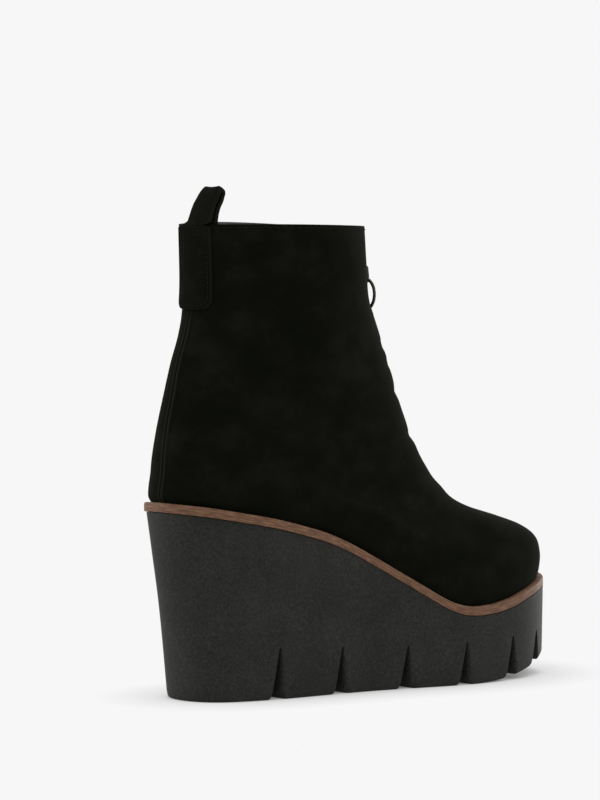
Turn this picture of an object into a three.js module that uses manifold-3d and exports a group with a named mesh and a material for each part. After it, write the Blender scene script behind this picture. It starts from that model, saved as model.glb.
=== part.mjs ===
// Wedge ankle boot for the right foot: a suede upper with a front zip, a ring puller and a heel pull loop,
// on a leather-look midsole and a notched rubber wedge. Millimetres: +X to the toe, +Y to the inner side
// of the foot, +Z up, with the floor at Z 0.
import * as THREE from "three";
import { mergeVertices } from "three/addons/utils/BufferGeometryUtils.js";
import Module from "manifold-3d";

const wasm = await Module();
wasm.setup();

// Last, measured along the line where the upper meets the midsole
const lastLength = 258;
const ballWidth = 88;
const toeSwing = 5; // how far the toe turns to the inner side

// Heights above the floor
const heelHeight = 105; // top of the midsole at the back
const platformHeight = 42.8; // top of the midsole under the ball
const collarHeight = 250;
const innerCollarRise = 2.5; // the inner side of the collar stands a little higher

// Thicknesses and clearances
const wall = 2.2; // suede and lining
const midsoleThickness = 5;
const insoleThickness = 3;
const welt = 3.5; // midsole showing outside the upper
const gap = 0.3; // between pieces that are glued or sewn together

// Wedge sole
const soleInset = 1.3; // the sole's top edge sits in from the midsole's by this much at the heel
const heelUndercut = 11; // how far the heel's foot sits in from its top, at the back
const heelDraft = 3.4; // its sides lean in by this much at the heel
const foreDraft = 0.6; // and by this much at the toe
const toeSpring = 17;
const treadEdge = 2; // radius round the tread
const notchWidth = 8.2;
const notchRadius = 0.8;
const notchLean = 0.74; // share of a notch's width that lies behind its apex

// Centre-back seam
const seamRise = 0.6;
const seamHalf = 2.6;

// Heel pull loop
const patchWidth = 22.4; // where it is sewn to the boot
const patchDrop = 43; // sewn length below the collar
const patchCorner = 5;
const loopWidth = 14; // at its top
const loopLean = 2.5; // its top leans this far to the outer side
const loopThickness = 1.8;
const loopRise = 21; // above the collar
const loopReach = 12.2; // how far its inner leg bulges in from the back of the collar
const loopInside = 16; // sewn length inside the collar

// Front zip
const zipDrop = 115; // from the collar down to the end of the slot
const slotHalf = 4.6;
const tapeHalf = 12;
const tapeThickness = 0.8;
const tapeOverlap = 6; // tape below the end of the slot
const chainHalf = 2.7;
const chainProud = 0.4; // the teeth stand this much out of the suede
const chainSplit = 1.3; // each row of teeth moves this far outward at the collar
const sliderDrop = 20.2; // from the collar down to the slider's top
const sliderLength = 13;
const sliderThickness = 2;
const sliderFlange = 0.9;
const bridgeWidth = 3;
const bridgeThickness = 1.4;
const bridgeStand = 2.9; // spare height in the bridge's eye, which holds the ring clear of the suede
const bridgeLength = 9.5;
const ringWire = 1.8;
const ringOuter = 19.5;
const ringClearance = 0.45; // round the ring's wire in the bridge's eye

// Top of the midsole in side view. along: share of its length. rise: share of heel height over platform.
const footbed = [
  { along: 0.0, rise: 1.0 },
  { along: 0.06, rise: 0.963 },
  { along: 0.13, rise: 0.91 },
  { along: 0.2, rise: 0.854 },
  { along: 0.26, rise: 0.794 },
  { along: 0.33, rise: 0.712 },
  { along: 0.39, rise: 0.614 },
  { along: 0.45, rise: 0.489 },
  { along: 0.51, rise: 0.349 },
  { along: 0.57, rise: 0.204 },
  { along: 0.63, rise: 0.063 },
  { along: 0.68, rise: 0.002 },
  { along: 0.74, rise: 0.002 },
  { along: 0.8, rise: 0.039 },
  { along: 0.86, rise: 0.105 },
  { along: 0.93, rise: 0.172 },
  { along: 1.0, rise: 0.212 },
];

// Sections of the upper in side view, from the midsole to the collar. back and front: where a section ends,
// as shares of lastLength. backUp and frontUp: its ends' heights, as shares of the way from the midsole to
// the collar. sag: how much of the midsole's curve it follows.
const sideView = [
  { back: 0.0, backUp: 0.0, front: 1.0, frontUp: 0.0, sag: 1.0 },
  { back: -0.0053, backUp: 0.021, front: 1.004, frontUp: 0.026, sag: 0.97 },
  { back: -0.0045, backUp: 0.048, front: 1.006, frontUp: 0.066, sag: 0.9 },
  { back: -0.0025, backUp: 0.069, front: 0.995, frontUp: 0.11, sag: 0.8 },
  { back: -0.0005, backUp: 0.09, front: 0.957, frontUp: 0.143, sag: 0.68 },
  { back: 0.001, backUp: 0.11, front: 0.89, frontUp: 0.172, sag: 0.55 },
  { back: 0.002, backUp: 0.138, front: 0.803, frontUp: 0.205, sag: 0.42 },
  { back: 0.0035, backUp: 0.172, front: 0.734, frontUp: 0.248, sag: 0.31 },
  { back: 0.007, backUp: 0.221, front: 0.695, frontUp: 0.311, sag: 0.21 },
  { back: 0.0135, backUp: 0.29, front: 0.657, frontUp: 0.384, sag: 0.13 },
  { back: 0.026, backUp: 0.386, front: 0.613, frontUp: 0.505, sag: 0.06 },
  { back: 0.042, backUp: 0.497, front: 0.577, frontUp: 0.629, sag: 0.02 },
  { back: 0.062, backUp: 0.593, front: 0.535, frontUp: 0.753, sag: 0.0 },
  { back: 0.075, backUp: 0.683, front: 0.516, frontUp: 0.809, sag: 0.0 },
  { back: 0.082, backUp: 0.793, front: 0.507, frontUp: 0.897, sag: 0.0 },
  { back: 0.081, backUp: 1.0, front: 0.498, frontUp: 1.0, sag: 0.0 },
];

// The same sections in plan. rear, middle and fore: half-widths at rearAt, middleAt and foreAt of a section's
// length. tail and nose: radii of its ends. All are shares of half the ball width.
const planView = [
  { rear: 0.68, middle: 0.67, fore: 1.0, tail: 0.65, nose: 0.92 },
  { rear: 0.705, middle: 0.705, fore: 1.02, tail: 0.68, nose: 0.93 },
  { rear: 0.72, middle: 0.73, fore: 1.0, tail: 0.69, nose: 0.91 },
  { rear: 0.73, middle: 0.745, fore: 0.95, tail: 0.7, nose: 0.84 },
  { rear: 0.735, middle: 0.75, fore: 0.88, tail: 0.69, nose: 0.72 },
  { rear: 0.73, middle: 0.75, fore: 0.8, tail: 0.68, nose: 0.6 },
  { rear: 0.72, middle: 0.74, fore: 0.735, tail: 0.66, nose: 0.5 },
  { rear: 0.695, middle: 0.72, fore: 0.69, tail: 0.62, nose: 0.44 },
  { rear: 0.665, middle: 0.7, fore: 0.66, tail: 0.56, nose: 0.42 },
  { rear: 0.63, middle: 0.69, fore: 0.65, tail: 0.49, nose: 0.42 },
  { rear: 0.6, middle: 0.7, fore: 0.66, tail: 0.42, nose: 0.44 },
  { rear: 0.575, middle: 0.74, fore: 0.69, tail: 0.37, nose: 0.48 },
  { rear: 0.57, middle: 0.79, fore: 0.74, tail: 0.38, nose: 0.55 },
  { rear: 0.59, middle: 0.85, fore: 0.79, tail: 0.43, nose: 0.62 },
  { rear: 0.65, middle: 0.91, fore: 0.83, tail: 0.6, nose: 0.68 },
  { rear: 0.7, middle: 0.95, fore: 0.86, tail: 0.84, nose: 0.74 },
];
const rearAt = 0.16;
const middleAt = 0.45;
const foreAt = 0.72;
const archShare = 0.1; // the waist is this much fuller on the outer side and slimmer on the inner side
const footTop = 0.55; // share of the rows that belong to the foot rather than the shaft

// Notches across the tread. at: share of the midsole's length. up: apex height, as a share of platformHeight.
const notches = [
  { at: 0.2205, up: 0.6 },
  { at: 0.377, up: 0.58 },
  { at: 0.535, up: 0.545 },
  { at: 0.673, up: 0.545 },
  { at: 0.8065, up: 0.57 },
  { at: 0.9, up: 0.585 },
];

// Middle line of the loop above the collar. out: share of loopReach. up: share of loopRise.
const loopLine = [
  { out: 0.08, up: 0.24 },
  { out: 0.24, up: 0.52 },
  { out: 0.37, up: 0.76 },
  { out: 0.52, up: 0.92 },
  { out: 0.72, up: 0.957 },
  { out: 0.92, up: 0.83 },
  { out: 1.0, up: 0.62 },
  { out: 0.86, up: 0.36 },
  { out: 0.58, up: 0.14 },
];

// Heel profile of the wedge. level: 0 at its top and 1 at the tread. in: share of heelUndercut.
const heelLevels = [
  { level: 0.0, inward: 0.0 },
  { level: 0.22, inward: 0.28 },
  { level: 0.46, inward: 0.58 },
  { level: 0.7, inward: 0.79 },
  { level: 1.0, inward: 1.0 },
];

const looks = {
  suede: { color: 0x101010, roughness: 0.95, metalness: 0 },
  leather: { color: 0x7a5138, roughness: 0.6, metalness: 0 },
  rubber: { color: 0x2b2b2a, roughness: 0.85, metalness: 0 },
  lining: { color: 0x2a2724, roughness: 0.8, metalness: 0 },
  tape: { color: 0x0c0c0c, roughness: 0.9, metalness: 0 },
  metal: { color: 0xb9b2a8, roughness: 0.25, metalness: 1 },
};

const { lerp, clamp } = THREE.MathUtils;
const column = (table, name) => table.map((row) => row[name]);
const evenly = (count, from = 0, to = 1) => Array.from({ length: count + 1 }, (_, i) => lerp(from, to, i / count));

// Value at x of a smooth curve through the points (xs, ys), with level ends where levelEnds is true.
function smooth(xs, ys, x, levelEnds = false) {
  const last = xs.length - 1;
  let i = 0;
  while (i < last - 1 && x > xs[i + 1]) i += 1;
  const slope = (k) => {
    if (levelEnds && (k === 0 || k === last)) return 0;
    const before = Math.max(0, k - 1);
    const after = Math.min(last, k + 1);
    return (ys[after] - ys[before]) / (xs[after] - xs[before]);
  };
  const span = xs[i + 1] - xs[i];
  const s = clamp((x - xs[i]) / span, 0, 1);
  const s2 = s * s;
  const s3 = s2 * s;
  const ends = (2 * s3 - 3 * s2 + 1) * ys[i] + (3 * s2 - 2 * s3) * ys[i + 1];
  return ends + (s3 - 2 * s2 + s) * span * slope(i) + (s3 - s2) * span * slope(i + 1);
}

// Height of the midsole's top at x, measured from the back of the last.
const midsoleLength = lastLength + 2 * welt;
const bedAlong = column(footbed, "along");
const bedRise = column(footbed, "rise");
function bedHeight(x) {
  const along = clamp((x + welt) / midsoleLength, 0, 1);
  return platformHeight + (heelHeight - platformHeight) * smooth(bedAlong, bedRise, along);
}
const backFoot = bedHeight(0) + gap;
const frontFoot = bedHeight(lastLength) + gap;

// The upper's section at v, from 0 at the midsole to 1 at the collar, in millimetres.
const rows = sideView.map((_, i) => i / (sideView.length - 1));
function sectionAt(v) {
  const side = (name) => smooth(rows, column(sideView, name), v);
  const plan = (name) => (smooth(rows, column(planView, name), v) * ballWidth) / 2;
  const foot = clamp(1 - v / footTop, 0, 1);
  return {
    backX: side("back") * lastLength,
    backZ: lerp(backFoot, collarHeight, side("backUp")),
    frontX: side("front") * lastLength,
    frontZ: lerp(frontFoot, collarHeight, side("frontUp")),
    sag: side("sag"),
    rear: plan("rear"),
    middle: plan("middle"),
    fore: plan("fore"),
    tail: plan("tail"),
    nose: plan("nose"),
    arch: archShare * foot,
    swing: toeSwing * foot,
    rise: innerCollarRise * clamp((v - footTop) / (1 - footTop), 0, 1) ** 3,
  };
}

// Distance from the section's middle line at angle a, from 0 at the back to PI at the front.
const angleAt = (along) => Math.acos(1 - 2 * along);
const widthAngles = [0, angleAt(rearAt), angleAt(middleAt), angleAt(foreAt), Math.PI];
function halfWidth(section, a, side) {
  const length = section.frontX - section.backX;
  const fullness = [
    Math.sqrt((section.tail * length) / 2),
    section.rear / Math.sin(widthAngles[1]),
    (section.middle * (1 - side * section.arch)) / Math.sin(widthAngles[2]),
    section.fore / Math.sin(widthAngles[3]),
    Math.sqrt((section.nose * length) / 2),
  ];
  return Math.sin(a) * smooth(widthAngles, fullness, a, true);
}

// A point of the upper's outer surface. side is -1 on the outer side of the foot and 1 on the inner side.
function surfacePoint(section, a, side) {
  const along = (1 - Math.cos(a)) / 2;
  const footChord = lerp(backFoot, frontFoot, along);
  const bedCurve = bedHeight(along * lastLength) + gap - footChord;
  const chord = lerp(section.backZ, section.frontZ, along);
  const toward = Math.max(0, (along - middleAt) / (1 - middleAt));
  const rise = side > 0 ? section.rise * Math.sin(a) ** 2 : 0;
  return new THREE.Vector3(
    lerp(section.backX, section.frontX, along),
    side * halfWidth(section, a, side) + section.swing * toward * toward,
    chord + section.sag * bedCurve + rise,
  );
}

// A point at a depth under the upper's outer surface.
function underSurface(v, a, side, depth) {
  const step = 0.004;
  const section = sectionAt(v);
  const up = surfacePoint(sectionAt(Math.min(1, v + step)), a, side);
  up.sub(surfacePoint(sectionAt(Math.max(0, v - step)), a, side));
  const round = surfacePoint(section, a + step, side).sub(surfacePoint(section, a - step, side));
  const inward = up.cross(round).multiplyScalar(-side).normalize();
  return surfacePoint(section, a, side).addScaledVector(inward, depth);
}

// The first t in 0 to 1 where the rising function reaches a value.
function solve(rising, value) {
  let low = 0;
  let high = 1;
  for (let i = 0; i < 30; i += 1) {
    const mid = (low + high) / 2;
    if (rising(mid) < value) low = mid;
    else high = mid;
  }
  return high;
}

// A point at a depth under the upper's surface and y across it, near the centre line of its back or front.
function sewnPoint(v, y, depth, atFront) {
  const section = sectionAt(v);
  const side = y < 0 ? -1 : 1;
  const end = atFront ? Math.PI : 0;
  const middle = angleAt(middleAt);
  const share = solve((t) => side * surfacePoint(section, lerp(end, middle, t), side).y, Math.abs(y));
  return underSurface(v, lerp(end, middle, share), side, depth);
}

const backRow = (z) => solve((v) => sectionAt(v).backZ, z);
const frontRow = (z) => solve((v) => sectionAt(v).frontZ, z);

// Closed loop of points: along the outer side to the toe, then back along the inner side.
function ring(angles, place) {
  const outer = angles.map((a) => place(a, -1));
  const inner = angles.slice(1, -1).reverse().map((a) => place(a, 1));
  return [...outer, ...inner];
}

// Moves a closed loop sideways in plan, outward where the distance is positive.
function offsetLoop(loop, distances) {
  return loop.map((point, i) => {
    const before = loop.at(i - 1);
    const after = loop[(i + 1) % loop.length];
    const normal = new THREE.Vector2(after.y - before.y, before.x - after.x).normalize();
    const distance = Array.isArray(distances) ? distances[i] : distances;
    return new THREE.Vector3(point.x + normal.x * distance, point.y + normal.y * distance, point.z);
  });
}

function manifoldOf(geometry) {
  const plain = geometry.clone();
  plain.deleteAttribute("normal");
  plain.deleteAttribute("uv");
  const merged = mergeVertices(plain, 1e-4);
  const mesh = new wasm.Mesh({
    numProp: 3,
    vertProperties: new Float32Array(merged.attributes.position.array),
    triVerts: new Uint32Array(merged.index.array),
  });
  return new wasm.Manifold(mesh);
}

// A closed solid from loops of equal length. Neighbouring loops are joined by a skin, and the first and last
// get caps of strips from point i to its mirror image, or are joined to each other where closed is true.
function skin(loops, { closed = false, mirror = 0 } = {}) {
  const count = loops[0].length;
  const triangles = [];
  const quad = (a, b, c, d) => {
    if (a !== b && b !== c) triangles.push(a, b, c);
    if (c !== d && d !== a) triangles.push(a, c, d);
  };
  for (let j = 0; j < loops.length - (closed ? 0 : 1); j += 1) {
    const base = j * count;
    const next = ((j + 1) % loops.length) * count;
    for (let i = 0; i < count; i += 1) {
      const k = (i + 1) % count;
      quad(base + i, base + k, next + k, next + i);
    }
  }
  if (!closed) {
    const top = (loops.length - 1) * count;
    const image = (i) => (count - i - mirror) % count;
    for (let i = 0; i < count / 2 - mirror; i += 1) {
      quad(top + i, top + i + 1, top + image(i + 1), top + image(i));
      quad(i, image(i), image(i + 1), i + 1);
    }
  }
  return manifoldOf(new THREE.BufferGeometry().setFromPoints(loops.flat()).setIndex(triangles));
}

function named(name, solid, look) {
  const mesh = solid.getMesh();
  const geometry = new THREE.BufferGeometry();
  geometry.setAttribute("position", new THREE.BufferAttribute(new Float32Array(mesh.vertProperties), 3));
  geometry.setIndex(new THREE.BufferAttribute(new Uint32Array(mesh.triVerts), 1));
  const made = new THREE.Mesh(geometry, new THREE.MeshStandardMaterial(looks[look]));
  made.name = name;
  return made;
}

// Angles round half a section, closer together at the back seam
const seamAngles = [0, 0.022, 0.042, 0.075];
const angles = [...seamAngles, ...evenly(26, 0.13, Math.PI)];
const lastLine = ring(angles, (a, side) => surfacePoint(sectionAt(0), a, side));

// The seam's raised lips, with a groove between them, fade out under the pull loop's patch.
const patchBottom = collarHeight - patchDrop;
function seamStep(v, a) {
  const section = sectionAt(v);
  const y = surfacePoint(section, a, 1).y;
  const lip = y < seamHalf ? Math.sin((Math.PI * y) / seamHalf) : 0;
  return seamRise * lip * clamp((patchBottom - section.backZ) / patchCorner, 0, 1);
}

function upper() {
  const levels = evenly(2 * (sideView.length - 1));
  const outside = levels.map((v) => ring(angles, (a, side) => underSurface(v, a, side, -seamStep(v, a))));
  const inside = levels.map((v) => ring(angles, (a, side) => underSurface(v, a, side, wall)));
  return skin([...outside, ...inside.reverse()], { closed: true }).subtract(zipSlot());
}

// The slot for the zip, with a round lower end, pushed through the front of the upper.
function zipSlot() {
  const bottom = collarHeight - zipDrop;
  const outline = new THREE.Shape();
  outline.absarc(0, bottom + slotHalf, slotHalf, Math.PI, 2 * Math.PI, false);
  outline.lineTo(slotHalf, collarHeight + zipDrop);
  outline.lineTo(-slotHalf, collarHeight + zipDrop);
  const from = lerp(sectionAt(1).backX, sectionAt(1).frontX, middleAt);
  const geometry = new THREE.ExtrudeGeometry(outline, { depth: lastLength - from, bevelEnabled: false, curveSegments: 8 });
  geometry.rotateX(Math.PI / 2).rotateZ(Math.PI / 2).translate(from, 0, 0);
  return manifoldOf(geometry);
}

// A loop laid level with the midsole's top, or a distance above it.
function onBed(loop, up) {
  return loop.map((point) => new THREE.Vector3(point.x, point.y, bedHeight(point.x) + up));
}

function midsole() {
  const edge = midsoleThickness / 4;
  const profile = [
    { out: welt - edge / 2, up: -midsoleThickness },
    { out: welt, up: edge - midsoleThickness },
    { out: welt, up: -edge },
    { out: welt - edge, up: 0 },
  ];
  return skin(profile.map((row) => onBed(offsetLoop(lastLine, row.out), row.up)));
}

function insole() {
  const loop = offsetLoop(lastLine, -(wall + gap));
  return skin([onBed(loop, gap), onBed(loop, gap + insoleThickness)]);
}

// Height of the tread above the floor at x.
const springFrom = 0.7;
function treadHeight(x) {
  const share = Math.max(0, ((x + welt) / midsoleLength - springFrom) / (1 - springFrom));
  return toeSpring * share ** 2;
}

// The wedge's outline at a level, 0 at its top and 1 at the tread, drawn in by a further distance.
function soleLoop(level, inset, up) {
  const along = lastLine.map((point) => clamp((point.x + welt) / midsoleLength, 0, 1));
  const top = offsetLoop(lastLine, along.map((share) => welt - soleInset * (1 - share)));
  const draft = along.map((share) => -level * lerp(heelDraft, foreDraft, Math.min(1, 2 * share)) - inset);
  const inward = heelUndercut * smooth(column(heelLevels, "level"), column(heelLevels, "inward"), level);
  return offsetLoop(top, draft).map((point, i) => {
    const x = point.x + inward * Math.max(0, 1 - 2 * along[i]) ** 2;
    const under = bedHeight(top[i].x) - midsoleThickness - gap;
    return new THREE.Vector3(x, point.y, lerp(under, treadHeight(x), level) + up);
  });
}

function outsole() {
  const levels = column(heelLevels, "level").slice(0, -1);
  const sides = levels.map((level) => soleLoop(level, 0, 0));
  const corner = evenly(3, 0, Math.PI / 2).map((t) => {
    const inset = treadEdge * (1 - Math.cos(t));
    return soleLoop(1, inset, treadEdge * (1 - Math.sin(t)));
  });
  const solid = skin([...corner.reverse(), ...sides.reverse()]);
  return notches.reduce((cut, notch) => cut.subtract(notchCutter(notch)), solid);
}

// A groove across the tread: a V with a steep front side, a rounded apex and rounded lips at the floor.
function notchCutter({ at, up }) {
  const x = at * midsoleLength - welt;
  const apex = up * platformHeight;
  const floor = treadHeight(x);
  const behind = notchWidth * notchLean;
  const before = notchWidth - behind;
  const lip = treadEdge / 2;
  const outline = new THREE.Shape();
  outline.moveTo(-behind - lip, floor - lip);
  outline.quadraticCurveTo(-behind, floor, -behind * 0.8, floor + apex * 0.2);
  outline.lineTo(-notchRadius, apex - notchRadius);
  outline.quadraticCurveTo(0, apex + notchRadius, notchRadius / 2, apex - notchRadius);
  outline.lineTo(before * 0.8, floor + apex * 0.2);
  outline.quadraticCurveTo(before, floor, before + lip, floor - lip);
  outline.lineTo(before + lip, floor - toeSpring);
  outline.lineTo(-behind - lip, floor - toeSpring);
  const geometry = new THREE.ExtrudeGeometry(outline, { depth: 2 * ballWidth, bevelEnabled: false, curveSegments: 4 });
  geometry.rotateX(Math.PI / 2).translate(x, ballWidth, 0);
  return manifoldOf(geometry);
}

// Pull loop: a patch sewn to the back, a loop above the collar and a tail sewn inside it
function pullLoop() {
  const across = evenly(6, 1, -1);
  const section = (half, outer, inner) => [
    ...across.map((share) => outer(share * half)),
    ...across.map((share) => inner(-share * half)),
  ];
  const sewn = (z, half, outer, inner) => {
    const v = backRow(z);
    return section(half, (y) => sewnPoint(v, y, outer, false), (y) => sewnPoint(v, y, inner, false));
  };
  const patchHalf = patchWidth / 2;
  const cornerHalf = (from) => {
    const short = patchCorner - Math.min(from, patchCorner);
    return patchHalf - patchCorner + Math.sqrt(patchCorner ** 2 - short ** 2);
  };
  const shoulder = patchCorner;
  const corner = evenly(3, 0, patchCorner).map((from) => sewn(patchBottom + from, cornerHalf(from), -gap - loopThickness, -gap));
  const patch = evenly(5, patchBottom + 2 * patchCorner, collarHeight - shoulder).map((z) =>
    sewn(z, patchHalf, -gap - loopThickness, -gap),
  );
  const tail = evenly(3, collarHeight - gap, collarHeight - loopInside).map((z) =>
    sewn(z, loopEnd / 2, wall + gap, wall + gap + loopThickness),
  );
  return skin([...corner, ...patch, ...freeLoop(section), ...tail], { mirror: 1 });
}

// The loop's sections above the collar, which follow its middle line and keep the collar's curve across.
const loopEnd = lerp(loopWidth, patchWidth, 0.4);
function freeLoop(section) {
  const collar = sectionAt(1);
  const outerLeg = new THREE.Vector3(collar.backX - gap - loopThickness / 2, 0, collarHeight);
  const innerLeg = new THREE.Vector3(collar.backX + wall + gap + loopThickness / 2, 0, collarHeight);
  const free = loopLine.map(
    ({ out, up }) => new THREE.Vector3(collar.backX + out * loopReach, 0, collarHeight + up * loopRise),
  );
  const line = new THREE.CatmullRomCurve3([outerLeg, ...free, innerLeg], false, "centripetal");
  const bend = (y) => sewnPoint(1, y, 0, false).x - collar.backX;
  return evenly(18).slice(0, -1).map((t) => {
    const middle = line.getPointAt(t);
    const toward = line.getTangentAt(t);
    const height = clamp((middle.z - collarHeight) / loopRise, 0, 1);
    const risen = Math.min(1, 1.6 * height);
    const half = lerp(loopEnd, loopWidth, risen) / 2;
    const point = (y, side) =>
      new THREE.Vector3(
        middle.x + bend(y) - (side * toward.z * loopThickness) / 2,
        y - loopLean * risen,
        middle.z + (side * toward.x * loopThickness) / 2,
      );
    return section(half, (y) => point(y, 1), (y) => point(y, -1));
  });
}

// One side of the zip: a tape behind the wall, with its row of teeth standing in the slot
function zipTape(side) {
  const bottom = collarHeight - zipDrop - tapeOverlap;
  const top = collarHeight - gap;
  const sliderTop = collarHeight - sliderDrop;
  const teethFrom = collarHeight - zipDrop + slotHalf;
  const below = evenly(3, bottom, teethFrom - gap);
  const heights = [...below, ...evenly(16, teethFrom, sliderTop), ...evenly(3, sliderTop, top).slice(1)];
  const behind = wall + gap;
  const loops = heights.map((z) => {
    const split = chainSplit * clamp((z - sliderTop) / sliderDrop, 0, 1);
    const front = z < teethFrom ? behind : -chainProud;
    const columns = [
      { y: gap / 2 + split, depth: front },
      { y: chainHalf + split, depth: front },
      { y: chainHalf + split + gap / 2, depth: behind },
      ...evenly(3, slotHalf, tapeHalf).map((y) => ({ y, depth: behind })),
    ];
    const v = frontRow(z);
    const face = columns.map(({ y, depth }) => sewnPoint(v, side * y, depth, true));
    const back = columns.map(({ y }) => sewnPoint(v, side * y, behind + tapeThickness, true)).reverse();
    const loop = [...face, ...back];
    return side > 0 ? loop : loop.reverse();
  });
  return skin(loops, { mirror: 1 });
}

function box(size, at) {
  return manifoldOf(new THREE.BoxGeometry(size.x, size.y, size.z).translate(at.x, at.y, at.z));
}

// Slider, with X outward from the teeth and Z up from its lower end: a plate, two flanges and a bridge
const eye = ringWire + 2 * ringClearance + bridgeStand;
const ringAcross = sliderThickness + eye - ringClearance - ringWire / 2;
const bridgeFoot = (sliderLength - bridgeLength) / 2;
const ringUp = bridgeFoot + bridgeThickness + ringClearance + ringWire / 2;
function slider() {
  const half = chainHalf + gap + sliderFlange;
  const flangeDepth = chainProud + gap + wall;
  const outline = new THREE.Shape();
  outline.moveTo(-half * 0.72, 0);
  outline.quadraticCurveTo(0, -half * 0.3, half * 0.72, 0);
  outline.lineTo(half, sliderLength * 0.35);
  outline.lineTo(half, sliderLength * 0.8);
  outline.quadraticCurveTo(half, sliderLength, half * 0.6, sliderLength);
  outline.lineTo(-half * 0.6, sliderLength);
  outline.quadraticCurveTo(-half, sliderLength, -half, sliderLength * 0.8);
  outline.lineTo(-half, sliderLength * 0.35);
  const geometry = new THREE.ExtrudeGeometry(outline, { depth: sliderThickness, bevelEnabled: false, curveSegments: 5 });
  const plate = manifoldOf(geometry.rotateX(Math.PI / 2).rotateZ(Math.PI / 2));
  const flange = { x: flangeDepth, y: sliderFlange, z: sliderLength * 0.45 };
  const flangeUp = sliderLength * 0.575;
  const sides = [-1, 1].map((side) =>
    box(flange, { x: 0.1 - flangeDepth / 2, y: side * (half - sliderFlange / 2), z: flangeUp }),
  );
  const block = box(
    { x: eye + bridgeThickness + 0.2, y: bridgeWidth, z: bridgeLength },
    { x: sliderThickness + (eye + bridgeThickness) / 2 - 0.1, y: 0, z: sliderLength / 2 },
  );
  const hole = box(
    { x: eye, y: 2 * bridgeWidth, z: bridgeLength - 2 * bridgeThickness },
    { x: sliderThickness + eye / 2, y: 0, z: sliderLength / 2 },
  );
  return sides.reduce((joined, piece) => joined.add(piece), plate).add(block.subtract(hole));
}

function ringPuller() {
  const radius = (ringOuter - ringWire) / 2;
  const geometry = new THREE.TorusGeometry(radius, ringWire / 2, 8, 40).rotateY(Math.PI / 2).translate(0, 0, -radius);
  return manifoldOf(geometry);
}

// How far the ring swings out from hanging straight down, where the teeth below it slope out under it.
function ringHang(pivot) {
  const reach = ringOuter - ringWire;
  const leans = evenly(6, reach / 2, reach).map((down) => {
    const clear = sewnPoint(frontRow(pivot.z - down), 0, -chainProud - gap - ringWire / 2, true);
    return Math.atan2(clear.x - pivot.x, pivot.z - clear.z);
  });
  return Math.max(0, ...leans);
}

// The boot, with its origin on the floor under the middle of its box
const boot = new THREE.Group();
boot.add(named("outsole", outsole(), "rubber"));
boot.add(named("midsole", midsole(), "leather"));
boot.add(named("insole", insole(), "lining"));
boot.add(named("upper", upper(), "suede"));
boot.add(named("pull_loop", pullLoop(), "suede"));
boot.add(named("zip_tape_outer", zipTape(-1), "tape"));
boot.add(named("zip_tape_inner", zipTape(1), "tape"));

const sliderBottom = collarHeight - sliderDrop - sliderLength;
const sliderFrom = sewnPoint(frontRow(sliderBottom), 0, -chainProud - gap, true);
const sliderTo = sewnPoint(frontRow(sliderBottom + sliderLength), 0, -chainProud - gap, true);
const zip = new THREE.Group();
zip.position.copy(sliderFrom);
const sliderMesh = named("zip_slider", slider(), "metal");
sliderMesh.rotation.y = Math.atan2(sliderTo.x - sliderFrom.x, sliderTo.z - sliderFrom.z);
const ringMesh = named("zip_ring", ringPuller(), "metal");
ringMesh.position.set(ringAcross, 0, ringUp).applyAxisAngle(new THREE.Vector3(0, 1, 0), sliderMesh.rotation.y);
ringMesh.rotation.y = -ringHang(new THREE.Vector3().addVectors(sliderFrom, ringMesh.position));
zip.add(sliderMesh, ringMesh);
boot.add(zip);

const middle = new THREE.Box3().setFromObject(boot).getCenter(new THREE.Vector3());
boot.position.set(-middle.x, -middle.y, 0);

export default boot;
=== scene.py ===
# Wedge ankle boot for the right foot in its materials. Sizes in millimetres; pieces are placed in metres.
import math

import bmesh
import bpy
import numpy as np
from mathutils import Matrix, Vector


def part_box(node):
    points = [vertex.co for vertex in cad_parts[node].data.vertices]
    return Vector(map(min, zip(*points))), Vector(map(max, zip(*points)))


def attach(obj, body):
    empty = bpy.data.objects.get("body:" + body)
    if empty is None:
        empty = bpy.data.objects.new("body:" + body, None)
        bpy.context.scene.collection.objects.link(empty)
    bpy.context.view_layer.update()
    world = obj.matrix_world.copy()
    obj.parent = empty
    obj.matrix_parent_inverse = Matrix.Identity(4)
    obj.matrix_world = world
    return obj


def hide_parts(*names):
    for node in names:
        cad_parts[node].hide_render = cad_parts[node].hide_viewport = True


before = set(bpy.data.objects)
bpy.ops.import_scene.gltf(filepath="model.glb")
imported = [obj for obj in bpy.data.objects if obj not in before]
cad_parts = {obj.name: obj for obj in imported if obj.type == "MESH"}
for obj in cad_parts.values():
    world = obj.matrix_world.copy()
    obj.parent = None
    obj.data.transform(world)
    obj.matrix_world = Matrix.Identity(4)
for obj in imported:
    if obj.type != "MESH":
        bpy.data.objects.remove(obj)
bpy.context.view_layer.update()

# Last
last_length = 258
ball_width = 88
toe_swing = 5

# Heights above the floor
heel_height = 105
platform_height = 42.8
collar_height = 250
inner_collar_rise = 2.5

# Thicknesses and clearances
wall = 2.2
midsole_thickness = 5
insole_thickness = 3
welt = 3.5
gap = 0.3

# Wedge sole
sole_inset = 1.3
heel_undercut = 11
heel_draft = 3.4
fore_draft = 0.6
toe_spring = 17
spring_from = 0.7
tread_edge = 2
notch_width = 7.4
notch_radius = 0.8
notch_lean = 0.74
notch_edge = 3  # rounding between a notch's steep side and the wedge's side
block_corner = 3.6  # how far the corner in front of a notch is cut back at the floor
block_rear = 1.6  # how far the corner behind it is cut back
notch_straight = 0.8  # share of a notch's side, from its apex, that is straight
tread_pitch = 5
tread_groove = 1.1
tread_flat = 0.3
tread_depth = 0.8
groove_gap = 9  # least distance from a groove to the middle of a notch

# Centre-back seam
seam_rise = 1
seam_half = 2.2
seam_groove = 0.6
seam_groove_half = 0.45
seam_shift = 1.7  # the seam leans to the outer side below the patch

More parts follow.
